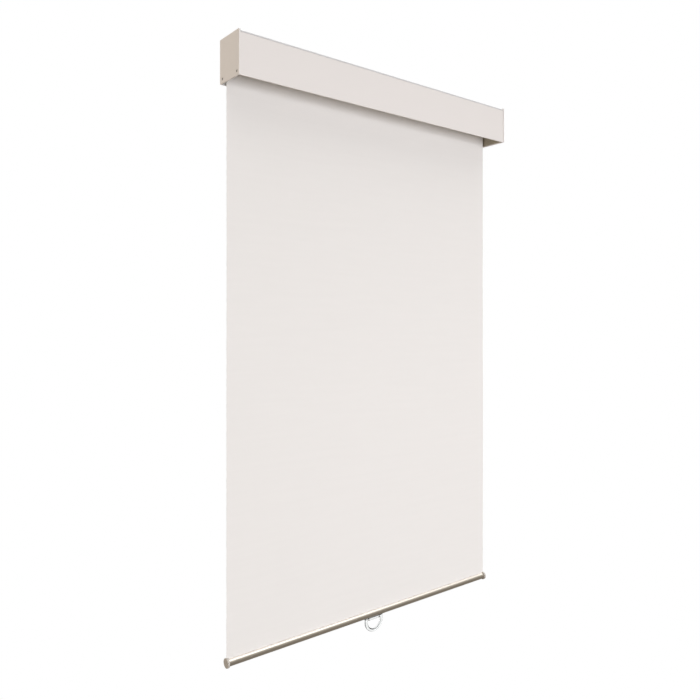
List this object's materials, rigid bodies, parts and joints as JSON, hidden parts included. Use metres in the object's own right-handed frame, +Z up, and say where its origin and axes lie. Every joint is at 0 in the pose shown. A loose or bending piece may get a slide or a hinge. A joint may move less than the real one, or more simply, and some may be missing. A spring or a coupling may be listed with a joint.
{
  "type": "roller blind",
  "caption": "Spring roller blind in a box cassette, with a flat fabric panel, round hem bar and clear pull ring.",
  "frame": {"origin": "on the rear face of the centre wall bracket, which lies on the wall, at the middle of the width and half the height of the end plates", "axes": "+X to the right along the width, +Y to the wall, +Z up"},
  "size_m": [0.832, 0.08, 1.3524],
  "materials": {
    "coated_profile": "off-white powder coat, satin",
    "coated_plate": "off-white powder coat, satin",
    "coated_bar": "off-white powder coat, smooth",
    "bare_aluminium": "mill finish",
    "zinced_steel": "zinc plated",
    "screw_steel": "plated, dull",
    "spring_steel": "oiled",
    "moulded": "satin moulded",
    "blind_fabric": "plain weave with a light horizontal slub",
    "clear_plastic": "clear moulded plastic"
  },
  "bodies": {
    "cassette": {"back_rail": "coated_profile", "fascia": "coated_profile", "end_plate_left": "coated_plate", "end_plate_right": "coated_plate", "end_bracket_left": "coated_plate", "end_bracket_right": "coated_plate", "end_screw_front_left": "screw_steel", "end_screw_front_right": "screw_steel", "end_screw_rear_left": "screw_steel", "end_screw_rear_right": "screw_steel", "bracket_screw_front_left": "screw_steel", "bracket_screw_front_right": "screw_steel", "bracket_screw_rear_left": "screw_steel", "bracket_screw_rear_right": "screw_steel", "wall_bracket_left": "zinced_steel", "wall_bracket_centre": "zinced_steel", "wall_bracket_right": "zinced_steel", "spear_hub": "moulded", "idler_hub": "moulded", "spear_shaft": "zinced_steel", "ratchet_wheel": "zinced_steel", "shaft_anchor": "moulded", "torsion_spring": "spring_steel", "fabric_panel": "blind_fabric"},
    "roller": {"roller_tube": "bare_aluminium", "fabric_fixing_strip": "moulded", "fabric_wound": "blind_fabric", "spring_plug": "moulded", "shaft_support": "moulded", "idler_plug": "moulded", "idler_retainer": "moulded", "idler_spring": "spring_steel", "pawl_pin_a": "zinced_steel", "pawl_pin_b": "zinced_steel"},
    "pawl_a": {"pawl_a": "zinced_steel"},
    "pawl_b": {"pawl_b": "zinced_steel"},
    "idler_pin": {"idler_pin": "zinced_steel"},
    "hem": {"hem_bar": "coated_bar", "hem_cap_left": "coated_bar", "hem_cap_right": "coated_bar", "hem_spline": "moulded", "pull_ring": "clear_plastic", "ring_screw_left": "screw_steel", "ring_screw_right": "screw_steel"}
  },
  "joints": [
    {"name": "roller_spin", "type": "hinge", "parent": "cassette", "child": "roller", "pos_m": [0, -0.03375, 0], "axis": [1, 0, 0], "range_deg": [0, 2880], "deforming": ["torsion_spring"]},
    {"name": "bar_lift", "type": "slide", "parent": "cassette", "child": "hem", "axis": [0, 0, 1], "range_m": [0, 1.2035], "deforming": ["fabric_panel"]},
    {"name": "pawl_a_swing", "type": "hinge", "parent": "roller", "child": "pawl_a", "pos_m": [-0.4018, -0.03375, 0.0125], "axis": [1, 0, 0], "range_deg": [0, 25]},
    {"name": "pawl_b_swing", "type": "hinge", "parent": "roller", "child": "pawl_b", "pos_m": [-0.4018, -0.03375, -0.0125], "axis": [1, 0, 0], "range_deg": [0, 25]},
    {"name": "idler_pin_slide", "type": "slide", "parent": "roller", "child": "idler_pin", "axis": [1, 0, 0], "range_m": [-0.005, 0], "stiffness_N_per_m": 300, "springref_m": 0.004, "deforming": ["idler_spring"]}
  ],
  "couplings": [
    {"joint": "bar_lift", "follows": "roller_spin", "m_per_rad": 0.02394}
  ]
}
